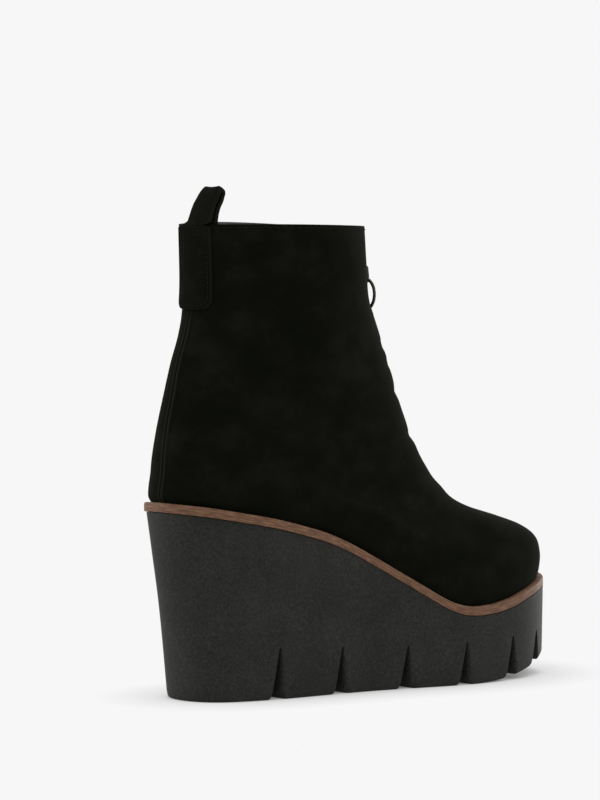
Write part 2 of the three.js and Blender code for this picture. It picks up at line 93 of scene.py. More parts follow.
# Heel pull loop
patch_width = 23
patch_drop = 44.5
patch_corner = 5
patch_edge = 1.1  # the patch's outer edge stands this much out of the suede, and its inner edge more
patch_bulge = 1.6
patch_gap = 0.05
patch_top = 1.5  # the patch ends and the free loop begins this far under the collar
patch_shift = 1.3
patch_stitch = 1.8
patch_stitch_half = 7.6
patch_stitch_top = 3
patch_stitch_shift = 2  # the rows stand this much further to the outer side than the patch
patch_stitch_pitch = 2.6
patch_stitch_length = 1.8
patch_row_drops = {"high": 3.2, "low": 5.2, "foot": patch_drop - 0.6}  # its short rows, below the collar
loop_width = 14
loop_shift = 4.2
loop_twist = 3.4  # the loop's inner leg lies this much further to the outer side
loop_cover = 3  # the outer leg is this much wider on the outer side, where it covers the inner leg
loop_thickness = 1.8
loop_rise = 21
loop_reach = 12.2
loop_inside = 16
loop_sag = 1.1  # the loop's top sags this much in the middle of its width
loop_corner = 2.6  # and falls this much at its corners

# Front zip
zip_drop = 115
slot_half = 4.6
tape_half = 12
tape_thickness = 0.8
tape_overlap = 6
chain_half = 2.7
chain_proud = 0.4
chain_split = 1.3
tooth_pitch = 1.7
tooth_cross = 0.35  # how far the closed teeth reach over the centre line
tooth_taper = 0.5
tooth_chamfer = 0.35
slider_drop = 20.2
slider_length = 13
slider_thickness = 2
slider_flange = 0.9
flange_from = 0.35  # the slider's side flanges start and end at these shares of its length
flange_to = 0.8
bridge_width = 3
bridge_thickness = 1.4
bridge_stand = 2.9
bridge_length = 9.5
bridge_corner = 1
eye_corner = 0.6
ring_wire = 1.8
ring_outer = 19.5
ring_clearance = 0.45

# Stitching
stitch_pitch = 4
stitch_length = 2.7
thread = 0.55
thread_lift = 0.1
thread_sunk = 0.6  # the stitch's ends lie this share of the thread's radius under its path
thread_end = 0.35  # radius at a stitch's ends, as a share of that in its middle
collar_stitch_drop = 1.9
collar_stitch_from = 1.5  # the collar's row starts this far from the patch
edge_stitch = 2.6
edge_stitch_top = 4

# Top of the midsole in side view: shares of its length, and of heel height over platform
bed_along = [0, 0.06, 0.13, 0.2, 0.26, 0.33, 0.39, 0.45, 0.51, 0.57, 0.63, 0.68, 0.74, 0.8, 0.86, 0.93, 1]
bed_rise = [
    1, 0.963, 0.91, 0.854, 0.794, 0.712, 0.614, 0.489, 0.349,
    0.204, 0.063, 0.002, 0.002, 0.039, 0.105, 0.172, 0.212,
]

# Sections of the upper from the midsole to the collar. back and front are shares of the last's length,
# back_up and front_up of the way up to the collar, and sag is how much of the midsole's curve a section has.
# rear, middle and fore are half-widths as shares of half the ball's, and tail and nose how full the ends are.
sections = {
    "back": [
        0, -0.0053, -0.0045, -0.0025, -0.0005, 0.001, 0.002, 0.0035,
        0.007, 0.0135, 0.026, 0.042, 0.062, 0.075, 0.082, 0.081,
    ],
    "back_up": [
        0, 0.021, 0.048, 0.069, 0.09, 0.11, 0.138, 0.172, 0.221, 0.29, 0.386, 0.497, 0.593, 0.683, 0.793, 1,
    ],
    "front": [
        1, 1.004, 1.006, 0.995, 0.957, 0.89, 0.803, 0.734,
        0.695, 0.657, 0.613, 0.577, 0.535, 0.516, 0.507, 0.498,
    ],
    "front_up": [
        0, 0.026, 0.066, 0.11, 0.143, 0.172, 0.205, 0.248,
        0.311, 0.384, 0.505, 0.629, 0.753, 0.809, 0.897, 1,
    ],
    "sag": [1, 0.97, 0.9, 0.8, 0.68, 0.55, 0.42, 0.31, 0.21, 0.13, 0.06, 0.02, 0, 0, 0, 0],
    "rear": [
        0.68, 0.705, 0.72, 0.73, 0.735, 0.73, 0.72, 0.695,
        0.665, 0.63, 0.6, 0.575, 0.57, 0.59, 0.65, 0.7,
    ],
    "middle": [
        0.67, 0.705, 0.73, 0.745, 0.75, 0.75, 0.74, 0.72,
        0.7, 0.69, 0.7, 0.74, 0.79, 0.85, 0.91, 0.95,
    ],
    "fore": [1, 1.02, 1, 0.95, 0.88, 0.8, 0.735, 0.69, 0.66, 0.65, 0.66, 0.69, 0.74, 0.79, 0.83, 0.86],
    "tail": [0.65, 0.68, 0.69, 0.7, 0.69, 0.68, 0.66, 0.62, 0.56, 0.49, 0.42, 0.37, 0.38, 0.43, 0.6, 0.84],
    "nose": [0.92, 0.93, 0.91, 0.84, 0.72, 0.6, 0.5, 0.44, 0.42, 0.42, 0.44, 0.48, 0.55, 0.62, 0.68, 0.74],
}
section_rows = np.linspace(0, 1, len(sections["back"]))
rear_at = 0.16
middle_at = 0.45
fore_at = 0.72
arch_share = 0.1
foot_top = 0.55

# Creases of the upper in side view: start and end as shares of the last's length and the collar's height,
# depth and half-width in millimetres, with a depth below 0 for a ridge, and side: -1 outer, 1 inner, 0 both
crease_fade = 1 / 3  # share of a crease's length over which each of its ends fades out
crease_blend = 12  # a crease on one side has its full depth this far from the centre line
creases = [
    ((0.4, 0.725), (0.6, 0.75), 0.9, 3.4, 0),
    ((0.4, 0.685), (0.64, 0.712), 0.7, 3, 0),
    ((0.36, 0.61), (0.68, 0.655), 1, 3, 0),
    ((0.42, 0.512), (0.7, 0.556), 1.2, 3.4, 0),
    ((0.34, 0.49), (0.72, 0.53), -0.4, 5, 0),
    ((0.56, 0.405), (0.86, 0.44), -1.8, 6, 0),
    ((0.12, 0.66), (0.44, 0.6), 0.9, 7, -1),
    ((0.08, 0.58), (0.42, 0.5), -0.8, 7, -1),
    ((0.2, 0.5), (0.56, 0.41), 1.1, 8, -1),
    ((0.5, 0.38), (0.82, 0.32), 0.7, 7, -1),
    ((0.18, 0.9), (0.42, 0.8), 0.7, 8, -1),
    ((0.1, 0.64), (0.44, 0.6), 0.9, 7, 1),
    ((0.22, 0.5), (0.56, 0.42), 1.2, 8, 1),
    ((0.1, 0.56), (0.4, 0.5), -0.8, 7, 1),
    ((0.52, 0.38), (0.8, 0.3), 0.8, 7, 1),
    ((0.2, 0.86), (0.4, 0.82), 0.7, 8, 1),
]

# Notches across the tread: share of the midsole's length, and apex height as a share of the platform's
notches = [(0.2205, 0.64), (0.377, 0.6), (0.535, 0.55), (0.673, 0.55), (0.8065, 0.58), (0.9, 0.6)]

# Middle line of the loop above the collar, up the outer leg and down the inner: shares of its reach and rise
loop_line = [
    (0.05, 0.2), (0.19, 0.42), (0.36, 0.64), (0.48, 0.82), (0.6, 0.94),
    (0.74, 0.93), (0.8, 0.8), (0.7, 0.64), (0.49, 0.44), (0.35, 0.22),
]

# One half of the slider's plate from its lower end up: shares of its half-width and length
slider_half = [(0.3, -0.039), (0.72, 0), (1, flange_from), (1, flange_to), (0.93, 0.93), (0.6, 1)]

# Heel profile of the wedge: level from its top to the tread, and share of the undercut
heel_levels = [0, 0.22, 0.46, 0.7, 1]
heel_inward = [0, 0.28, 0.58, 0.79, 1]

# Camera, solved from the photograph: place in metres, lens in millimetres, turn and fall in degrees
camera_place = (-1.1753, -1.4091, 0.2195)
camera_lens = 201.5
camera_turn = -39
camera_fall = 1.998

# Soft lights: name, place and size in metres, and watts
softboxes = [
    ("toe_box", (1.3, 0.15, 0.15), (0.6, 0.6), 8),
    ("heel_box", (-0.95, 1.1, 0.5), (0.6, 1.0), 7),
    ("top_box", (0.3, 0, 1.6), (1.2, 1.2), 8),
]
light_aim = (0, 0, 0.1)
backdrop = 247


def lerp(a, b, t):
    return a + (b - a) * t


def smooth(xs, ys, x, level_ends=False):
    """Smooth curve through (xs, ys) at x, where each of ys is a number or an array like x."""
    x = np.asarray(x, float)
    xs = np.asarray(xs, float)
    ys = np.stack([np.broadcast_to(np.asarray(y, float), x.shape) for y in ys])
    wide = (slice(None),) + (None,) * x.ndim
    slopes = np.zeros_like(ys)
    slopes[1:-1] = (ys[2:] - ys[:-2]) / (xs[2:] - xs[:-2])[wide]
    if not level_ends:
        slopes[0] = (ys[1] - ys[0]) / (xs[1] - xs[0])
        slopes[-1] = (ys[-1] - ys[-2]) / (xs[-1] - xs[-2])
    i = np.searchsorted(xs[1:-1], x)
    span = xs[i + 1] - xs[i]
    s = np.clip((x - xs[i]) / span, 0, 1)

    def pick(table, k):
        return np.take_along_axis(table, np.asarray(k)[None], 0)[0]

    ends = (2 * s**3 - 3 * s**2 + 1) * pick(ys, i) + (3 * s**2 - 2 * s**3) * pick(ys, i + 1)
    return ends + (s**3 - 2 * s**2 + s) * span * pick(slopes, i) + (s**3 - s**2) * span * pick(slopes, i + 1)


midsole_length = last_length + 2 * welt
both_sides = ((-1, "outer"), (1, "inner"))


def share_along(x):
    """Share of the midsole's length at x, measured from the back of the last."""
    return np.clip((np.asarray(x, float) + welt) / midsole_length, 0, 1)


def bed_height(x):
    """Height of the midsole's top."""
    return platform_height + (heel_height - platform_height) * smooth(bed_along, bed_rise, share_along(x))


back_foot = float(bed_height(0)) + gap
front_foot = float(bed_height(last_length)) + gap
width_angles = [0] + [math.acos(1 - 2 * along) for along in (rear_at, middle_at, fore_at)] + [math.pi]


def column(name, v):
    return smooth(section_rows, sections[name], v)


def surface(v, a, side):
    """Points of the upper's outer surface at row v and angle a, 0 at the back and pi at the front."""
    v, a, side = np.broadcast_arrays(np.asarray(v, float), np.asarray(a, float), np.asarray(side, float))
    foot = np.clip(1 - v / foot_top, 0, 1)
    half_ball = ball_width / 2
    back_x = column("back", v) * last_length
    length = column("front", v) * last_length - back_x
    fullness = [
        np.sqrt(column("tail", v) * half_ball * length / 2),
        column("rear", v) * half_ball / math.sin(width_angles[1]),
        column("middle", v) * half_ball * (1 - side * arch_share * foot) / math.sin(width_angles[2]),
        column("fore", v) * half_ball / math.sin(width_angles[3]),
        np.sqrt(column("nose", v) * half_ball * length / 2),
    ]
    half = np.sin(a) * smooth(width_angles, fullness, a, True)
    along = (1 - np.cos(a)) / 2
    toward = np.maximum(0, (along - middle_at) / (1 - middle_at))
    bed_curve = bed_height(along * last_length) + gap - lerp(back_foot, front_foot, along)
    back_z = lerp(back_foot, collar_height, column("back_up", v))
    front_z = lerp(front_foot, collar_height, column("front_up", v))
    rise = inner_collar_rise * np.clip((v - foot_top) / (1 - foot_top), 0, 1) ** 3 * np.sin(a) ** 2
    x = back_x + length * along
    y = side * half + toe_swing * foot * toward**2
    z = lerp(back_z, front_z, along) + column("sag", v) * bed_curve + np.where(side > 0, rise, 0)
    return np.stack([x, y, z], axis=-1)


def quarter(count):
    """Angles from 0 to a quarter turn."""
    return np.linspace(0, math.pi / 2, count)


def unit(vectors):
    return vectors / np.linalg.norm(vectors, axis=-1, keepdims=True)


def distances(line, power=1):
    """Distance of each point from the first one along the line, where each step is raised to a power."""
    steps = np.linalg.norm(np.diff(line, axis=0), axis=1) ** power
    return np.concatenate([[0], np.cumsum(steps)])


def interpolate(s, reach, rows):
    """The rows of a table at s, where reach rises from row to row."""
    return np.stack([np.interp(s, reach, rows[:, k]) for k in range(3)], axis=-1)


def outward(v, a, side):
    """Directions out of the upper's surface."""
    step = 0.004
    up = surface(np.minimum(1, v + step), a, side) - surface(np.maximum(0, v - step), a, side)
    round_it = surface(v, a + step, side) - surface(v, a - step, side)
    return unit(np.cross(up, round_it) * np.asarray(side, float)[..., None])


def solve(rising, value):
    """Where in 0 to 1 a rising function reaches each value."""
    value = np.asarray(value, float)
    low = np.zeros_like(value)
    high = np.ones_like(value)
    for _ in range(30):
        middle = (low + high) / 2
        below = rising(middle) < value
        low = np.where(below, middle, low)
        high = np.where(below, high, middle)
    return high


def angle_at(v, y, at_front):
    """Angle where the surface is y from the centre line, near its back or front, and the side that is on."""
    v, y = np.broadcast_arrays(np.asarray(v, float), np.asarray(y, float))
    side = np.where(y < 0, -1.0, 1.0)
    end = math.pi if at_front else 0
    share = solve(lambda t: side * surface(v, lerp(end, width_angles[2], t), side)[..., 1], np.abs(y))
    return lerp(end, width_angles[2], share), side


def sewn(v, y, depth, at_front):
    """Points under the upper's surface, y across it."""
    a, side = angle_at(v, y, at_front)
    return surface(v, a, side) - outward(v, a, side) * np.asarray(depth, float)[..., None]


def back_row(z):
    return solve(lambda v: lerp(back_foot, collar_height, column("back_up", v)), z)


def front_row(z):
    return solve(lambda v: lerp(front_foot, collar_height, column("front_up", v)), z)


# The last's frame starts at its back, on the centre line of the zip
centre_line = (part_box("zip_tape_outer")[1][1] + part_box("zip_tape_inner")[0][1]) / 2
origin = np.array([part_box("midsole")[0][0] + welt / 1000, centre_line, 0])


def to_model(points):
    return np.asarray(points, float) / 1000 + origin


def add_object(name, data):
    made = bpy.data.objects.new(name, data)
    bpy.context.collection.objects.link(made)
    return made


def piece(name, points, faces, materials):
    mesh = bpy.data.meshes.new(name)
    mesh.from_pydata(to_model(points).tolist(), [], faces)
    mesh.polygons.foreach_set("use_smooth", [True] * len(mesh.polygons))
    for material in materials:
        mesh.materials.append(material)
    return add_object(name, mesh)


def dress(made, slot, *nodes, body="boot"):
    """The piece rides on a body and stands for CAD nodes. The slot is not used."""
    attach(made, body)
    if nodes:
        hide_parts(*nodes)
    return made


def soften(made, width, angle=50, segments=2):
    bevel = made.modifiers.new("soft_edges", "BEVEL")
    bevel.width = width / 1000
    bevel.segments = segments
    bevel.limit_method = "ANGLE"
    bevel.angle_limit = math.radians(angle)


def grid_faces(row_count, column_count, wrap=False, flip=False, first=0):
    faces = []
    for j in range(row_count - 1):
        for i in range(column_count if wrap else column_count - 1):
            k = (i + 1) % column_count
            base = first + j * column_count
            quad = [base + i, base + k, base + column_count + k, base + column_count + i]
            faces.append(quad[::-1] if flip else quad)
    return faces


def rod_faces(row_count, column_count, first=0):
    """Faces of a closed solid from rows with the same number of points, with a flat cap on each end."""
    last = first + (row_count - 1) * column_count
    faces = grid_faces(row_count, column_count, wrap=True, first=first)
    faces.append([first + k for k in range(column_count)][::-1])
    faces.append([last + k for k in range(column_count)])
    return faces


def skin(loops, mirror=0):
    """Faces of a closed solid from stacked loops, with caps of strips from each point to its mirror image."""
    count = loops.shape[1]
    faces = grid_faces(len(loops), count, wrap=True)
    top = (len(loops) - 1) * count

    def image(i):
        return (count - i - mirror) % count

    for i in range(count // 2 - mirror):
        over = [top + i, top + i + 1, top + image(i + 1), top + image(i)]
        under = [i, image(i), image(i + 1), i + 1]
        for face in (over, under):
            corners = list(dict.fromkeys(face))
            if len(corners) > 2:
                faces.append(corners)
    return loops.reshape(-1, 3), faces


def mend(made, change):
    """Runs a change on a piece's mesh."""
    mesh = bmesh.new()
    mesh.from_mesh(made.data)
    change(mesh)
    mesh.to_mesh(made.data)
    mesh.free()


def merge_doubles(made):
    mend(made, lambda mesh: bmesh.ops.remove_doubles(mesh, verts=mesh.verts, dist=1e-6))


def recalculate(made):
    mend(made, lambda mesh: bmesh.ops.recalc_face_normals(mesh, faces=mesh.faces))


# Materials


def srgb(red, green, blue):
    """Linear colour from the 0 to 255 values of a screen."""
    channels = [value / 255 for value in (red, green, blue)]
    linear = [c / 12.92 if c <= 0.04045 else ((c + 0.055) / 1.055) ** 2.4 for c in channels]
    return (*linear, 1)


class Shader:
    """A material with helpers that add and link its nodes."""

    def __init__(self, name, **values):
        self.material = bpy.data.materials.new(name)
        self.material.use_nodes = True
        self.tree = self.material.node_tree
        self.surface = self.tree.nodes["Principled BSDF"]
        for socket, value in values.items():
            self.surface.inputs[socket.replace("_", " ")].default_value = value
        self.place = self.node("ShaderNodeTexCoord").outputs["Object"]
        self.height = None

    def node(self, kind, **inputs):
        made = self.tree.nodes.new(kind)
        for name, value in inputs.items():
            self.feed(made.inputs[name.replace("_", " ")], value)
        return made

    def feed(self, socket, value):
        if isinstance(value, bpy.types.NodeSocket):
            self.tree.links.new(value, socket)
        else:
            socket.default_value = value

    def noise(self, size, detail=3.0, stretch=(1, 1, 1), roughness=0.5, place=None):
        """Noise with features of a size in millimetres, drawn out along the axes by stretch."""
        scale = [1000 / size / s for s in stretch]
        mapping = self.node("ShaderNodeMapping", Vector=place or self.place, Scale=scale)
        return self.node(
            "ShaderNodeTexNoise", Vector=mapping.outputs[0], Scale=1.0, Detail=detail, Roughness=roughness
        ).outputs["Fac"]

    def ramp(self, value, stops):
        """Colours at a value from 0 to 1, between stops of a position and a colour."""
        made = self.node("ShaderNodeValToRGB", Fac=value)
        elements = made.color_ramp.elements
        for element, (position, color) in zip(elements, (stops[0], stops[-1])):
            element.position = position
            element.color = color
        for position, color in stops[1:-1]:
            elements.new(position).color = color
        return made.outputs["Color"]

    def mix(self, share, first, second):
        made = self.node("ShaderNodeMixRGB", Fac=share, Color1=first, Color2=second)
        return made.outputs["Color"]

    def paint(self, value):
        self.feed(self.surface.inputs["Base Color"], value)

    def bump(self, value, strength, depth):
        """Adds relief of a depth in millimetres over the relief that is there."""
        made = self.node("ShaderNodeBump", Height=value, Strength=strength, Distance=depth / 1000)
        if self.height:
            self.feed(made.inputs["Normal"], self.height)
        self.height = made.outputs["Normal"]
        self.feed(self.surface.inputs["Normal"], self.height)


def suede():
    shade = Shader("suede", Roughness=1.0, Specular_IOR_Level=0.01, Sheen_Weight=0.03, Sheen_Roughness=0.45)
    shade.surface.inputs["Sheen Tint"].default_value = srgb(205, 205, 195)
    brushed = shade.noise(26, detail=6, roughness=0.6, stretch=(1, 1, 0.7))
    nap = shade.ramp(brushed, [(0.34, srgb(10, 12, 7)), (0.5, srgb(14, 15, 10)), (0.68, srgb(20, 20, 17))])
    # The seam's raised lips and the loop's edges are painted lighter: partly wear, partly a painted highlight
    # where they catch the light.
    rubbed_and_lit = shade.node("ShaderNodeAttribute")
    rubbed_and_lit.attribute_name = "rubbed_and_lit"
    shade.paint(shade.mix(rubbed_and_lit.outputs["Fac"], nap, srgb(30, 30, 26)))
    shade.bump(brushed, 0.15, 0.5)
    shade.bump(shade.noise(0.5, detail=2, stretch=(1, 1, 1.6)), 0.5, 0.12)
    return shade.material


def thread_material():
    shade = Shader("thread", Roughness=0.8, Specular_IOR_Level=0.05)
    shade.paint(shade.ramp(shade.noise(1.5), [(0.3, srgb(18, 18, 15)), (0.7, srgb(29, 29, 25))]))
    shade.bump(shade.noise(0.35, detail=1), 0.3, 0.1)
    return shade.material


def rand_leather():
    shade = Shader("rand_leather", Roughness=0.6, Specular_IOR_Level=0.2)
    along = shade.node("ShaderNodeUVMap").outputs["UV"]
    streaks = shade.noise(0.7, detail=6, stretch=(11, 1, 1), place=along, roughness=0.7)
    tones = [(0.3, srgb(70, 47, 33)), (0.5, srgb(97, 69, 51)), (0.7, srgb(138, 104, 79))]
    shade.paint(shade.ramp(streaks, tones))
    shade.bump(streaks, 0.35, 0.2)
    shade.bump(shade.noise(0.6, detail=2), 0.2, 0.1)
    return shade.material


def wedge_rubber():
    shade = Shader("wedge_rubber", Roughness=0.6, Specular_IOR_Level=0.09)
    specks = shade.noise(1.3, detail=4, roughness=0.75)
    dark = shade.ramp(specks, [(0.34, srgb(25, 25, 24)), (0.5, srgb(33, 33, 31)), (0.66, srgb(42, 42, 40))])
    pale = shade.ramp(specks, [(0.34, srgb(32, 32, 31)), (0.5, srgb(40, 40, 38)), (0.66, srgb(52, 51, 49))])
    dust = shade.ramp(shade.noise(40, detail=6, roughness=0.7), [(0.36, (0, 0, 0, 1)), (0.64, (1, 1, 1, 1))])
    shade.paint(shade.mix(dust, dark, pale))
    shade.bump(specks, 0.35, 0.25)
    return shade.material


def lining():
    shade = Shader("lining", Roughness=0.8, Specular_IOR_Level=0.2)
    shade.paint(shade.ramp(shade.noise(3, detail=4), [(0.3, srgb(66, 64, 60)), (0.7, srgb(86, 84, 79))]))
    shade.bump(shade.noise(0.9, detail=3), 0.3, 0.15)
    return shade.material


def zip_tape():
    shade = Shader("zip_tape", Roughness=0.9, Specular_IOR_Level=0.1)
    shade.paint(shade.ramp(shade.noise(1, detail=3), [(0.3, srgb(18, 18, 17)), (0.7, srgb(30, 30, 28))]))
    shade.bump(shade.noise(0.5, detail=1, stretch=(1, 1, 3)), 0.5, 0.15)
    return shade.material


def zip_metal():
    shade = Shader("zip_metal", Metallic=1.0, Roughness=0.26)
    shade.paint(shade.ramp(shade.noise(2.5, detail=4), [(0.35, srgb(56, 50, 46)), (0.65, srgb(80, 71, 65))]))
    shade.bump(shade.noise(0.8, detail=2), 0.08, 0.05)
    return shade.material


# Upper

patch_bottom = collar_height - patch_drop
slot_bottom = collar_height - zip_drop
row_count = 150
seam_columns = 22
side_columns = 84
seam_reach = 0.13


def slot_edge(z):
    """Half-width of the zip's slot at a height."""
    below = np.clip(slot_bottom + slot_half - z, 0, slot_half)
    return np.where(z <= slot_bottom, 0, np.sqrt(np.maximum(0, slot_half**2 - below**2)))


def upper_rows():
    """Rows from the midsole to the collar, closer together round the slot's lower end."""
    turn = slot_bottom + slot_half * (1 - np.cos(quarter(8)))
    close = front_row(turn)
    even = np.linspace(0, 1, row_count)
    even = even[(even < close[0] - 0.003) | (even > close[-1] + 0.003)]
    return np.sort(np.concatenate([even, close]))


def seam_relief(points):
    """The centre-back seam: two raised lips with a groove between, which fade out under the patch."""
    shift = seam_shift * np.clip((patch_bottom - points[..., 2]) / patch_drop, 0, 1)
    y = np.abs(points[..., 1] + shift)
    lip = seam_rise * np.sin(np.pi * np.minimum(y / seam_half, 1))
    lip -= seam_groove * np.exp(-((y / seam_groove_half) ** 2))
    behind = points[..., 0] < last_length / 2
    return np.where(behind, lip, 0) * np.clip((patch_bottom - points[..., 2]) / patch_corner, 0, 1)


def crease_relief(points):
    """Soft troughs and ridges in the suede, each along a line in side view that fades out at its ends."""
    relief = np.zeros(points.shape[:-1])
    for (x0, z0), (x1, z1), depth, width, side in creases:
        start = np.array([x0 * last_length, z0 * collar_height])
        run = np.array([x1 * last_length, z1 * collar_height]) - start
        length = np.linalg.norm(run)
        run = run / length
        away = np.stack([points[..., 0], points[..., 2]], axis=-1) - start
        along = away @ run / length
        across = away[..., 0] * run[1] - away[..., 1] * run[0]
        fade = np.clip((0.5 - np.abs(along - 0.5)) / crease_fade, 0, 1)
        fade = fade * fade * (3 - 2 * fade)
        near = 1 if side == 0 else np.clip(side * points[..., 1] / crease_blend, 0, 1)
        relief -= depth * np.exp(-((across / width) ** 2)) * fade * near
    return relief


def suede_surface(v, a, side):
    """The upper's outer surface with its creases, and its directions outward."""
    points = surface(v, a, side)
    normals = outward(v, a, side)
    return points + normals * crease_relief(points)[..., None], normals


def upper_side(side, rows):
    """Points of one side of the upper, with how much lighter the suede is painted there: on the seam's raised
    lips, partly wear and partly a painted highlight.
    """
    z = lerp(front_foot, collar_height, column("front_up", rows))
    edge = slot_edge(z)
    last = np.where(edge > 0, angle_at(rows, side * np.maximum(edge, 1e-3), True)[0], math.pi)
    near = np.linspace(0, seam_reach, seam_columns, endpoint=False)
    near = np.broadcast_to(near, (len(rows), seam_columns))
    shares = np.linspace(0, 1, side_columns)
    angles = np.concatenate([near, seam_reach + shares * (last[:, None] - seam_reach)], axis=1)
    v = np.broadcast_to(rows[:, None], angles.shape)
    points, normals = suede_surface(v, angles, np.full(angles.shape, float(side)))
    relief = seam_relief(points)
    points = points + normals * relief[..., None]
    # The seam's lips are painted lighter by their height: a painted highlight, partly wear.
    return points, np.clip(relief / seam_rise, 0, 1)


def upper(materials):
    rows = upper_rows()
    points = []
    faces = []
    rubbed_and_lit = []
    for side in (-1, 1):
        grid, worn_and_lit = upper_side(side, rows)
        faces += grid_faces(grid.shape[0], grid.shape[1], flip=side > 0, first=sum(len(p) for p in points))
        points.append(grid.reshape(-1, 3))
        rubbed_and_lit.append(worn_and_lit.ravel())
    made = piece("suede_upper", np.concatenate(points), faces, materials)
    # Keeps the lighter paint on the seam's lips: partly wear, partly a painted highlight.
    wear_and_highlight(made, np.concatenate(rubbed_and_lit))
    merge_doubles(made)
    shell = made.modifiers.new("wall", "SOLIDIFY")
    shell.thickness = wall / 1000
    shell.offset = -1
    shell.use_even_offset = True
    shell.material_offset = 1
    soften(made, 0.5, angle=60)
    dress(made, "suede", "upper")


def wear_and_highlight(made, rubbed_and_lit):
    """Keeps how much lighter each point is painted, from 0 to 1, for the suede's colour: partly wear, partly
    a painted highlight on raised lips and edges.
    """
    layer = made.data.attributes.new("rubbed_and_lit", "FLOAT", "POINT")
    layer.data.foreach_set("value", np.asarray(rubbed_and_lit, float))


# Stitches


def stitches(name, path, normals, material, pitch=stitch_pitch, length=stitch_length):
    """Threads along a path, each bowed out of the surface and drawn in at its ends."""
    reach = distances(path)
    count = max(1, int(reach[-1] / pitch))
    spots = (np.arange(count) + 0.5) * reach[-1] / count
    around = np.linspace(0, 2 * math.pi, 6, endpoint=False)
    shares = (-0.5, -0.38, 0, 0.38, 0.5)
    step = 0.3
    points = []
    faces = []
    for spot in spots:
        faces += rod_faces(len(shares), len(around), first=len(points))
        for share in shares:
            s = np.clip(spot + share * length, 0, reach[-1])
            normal = unit(interpolate(s, reach, normals))
            ahead = interpolate(min(s + step, reach[-1]), reach, path)
            behind = interpolate(max(s - step, 0), reach, path)
            across = unit(np.cross(unit(ahead - behind), normal))
            bow = 1 - (2 * share) ** 2
            radius = thread / 2 * lerp(thread_end, 1, math.sqrt(bow))
            centre = interpolate(s, reach, path) + normal * (thread_lift + (bow - thread_sunk) * thread / 2)
            for turn in around:
                points.append(centre + radius * (math.cos(turn) * across + math.sin(turn) * normal))
    dress(piece(name, points, faces, [material]), "suede")


def collar_stitches(material):
    """A row round the collar, from one side of the patch to the slot on each side."""
    step = 0.03
    for side, word in both_sides:
        start = angle_at(1.0, side * (patch_width / 2 + collar_stitch_from) - patch_shift, False)[0]
        stop = angle_at(1.0, side * (slot_half + edge_stitch), True)[0]
        a = np.linspace(float(start), float(stop), 200)
        low = surface(1 - step, a, side)
        high = surface(1.0, a, side)
        v = 1 - step * collar_stitch_drop / np.linalg.norm(high - low, axis=1)
        sides = np.full(a.shape, side)
        stitches("collar_stitches_" + word, *suede_surface(v, a, sides), material)


def slot_stitches(material):
    """A row down each side of the zip, joined round its lower end."""
    edge = slot_half + edge_stitch
    low = slot_bottom + slot_half
    bend = np.linspace(0, math.pi, 25)
    down = np.linspace(collar_height - edge_stitch_top, low, 60)[:-1]
    straight = np.full(len(down), edge)
    z = np.concatenate([down, low - edge * np.sin(bend), down[::-1]])
    y = np.concatenate([-straight, -edge * np.cos(bend), straight])
    v = front_row(z)
    a, side = angle_at(v, y, True)
    stitches("slot_stitches", *suede_surface(v, a, side), material)


# Pull loop

loop_end = loop_width + 2
loop_across = np.linspace(1, -1, 19)


def catmull(points, t):
    """Points and directions of the centripetal curve through the points, at shares of its length."""
    points = np.asarray(points, float)
    knots = np.concatenate([[2 * points[0] - points[1]], points, [2 * points[-1] - points[-2]]])
    times = distances(knots, 0.5)

    def at(u):
        i = int(np.clip(np.searchsorted(times, u) - 1, 1, len(knots) - 3))
        p = knots[i - 1 : i + 3]
        s = times[i - 1 : i + 3]
        a = [((s[k + 1] - u) * p[k] + (u - s[k]) * p[k + 1]) / (s[k + 1] - s[k]) for k in range(3)]
        b = [((s[k + 2] - u) * a[k] + (u - s[k]) * a[k + 1]) / (s[k + 2] - s[k]) for k in range(2)]
        return ((s[2] - u) * b[0] + (u - s[1]) * b[1]) / (s[2] - s[1])

    dense = np.array([at(u) for u in np.linspace(times[1], times[-2], 400)])
    reach = distances(dense)
    spots = np.asarray(t) * reach[-1]
    return interpolate(spots, reach, dense), unit(interpolate(spots, reach, np.gradient(dense, axis=0)))


def loop_section(z, half, outer, inner, shift=patch_shift):
    """Loops of points across the patch at each height, at depths that outer and inner give for y."""
    y = loop_across * np.reshape(half, (-1, 1))
    v = np.broadcast_to(back_row(z)[:, None], y.shape)
    near = sewn(v, y - shift, outer(y), False)
    far = sewn(v, y[:, ::-1] - shift, inner(y[:, ::-1]), False)
    return np.concatenate([near, far], axis=1)


def patch_half(z):
    """Half-width of the patch at each height, with its rounded lower corners."""
    short = patch_corner - np.minimum(z - patch_bottom, patch_corner)
    return patch_width / 2 - patch_corner + np.sqrt(patch_corner**2 - short**2)


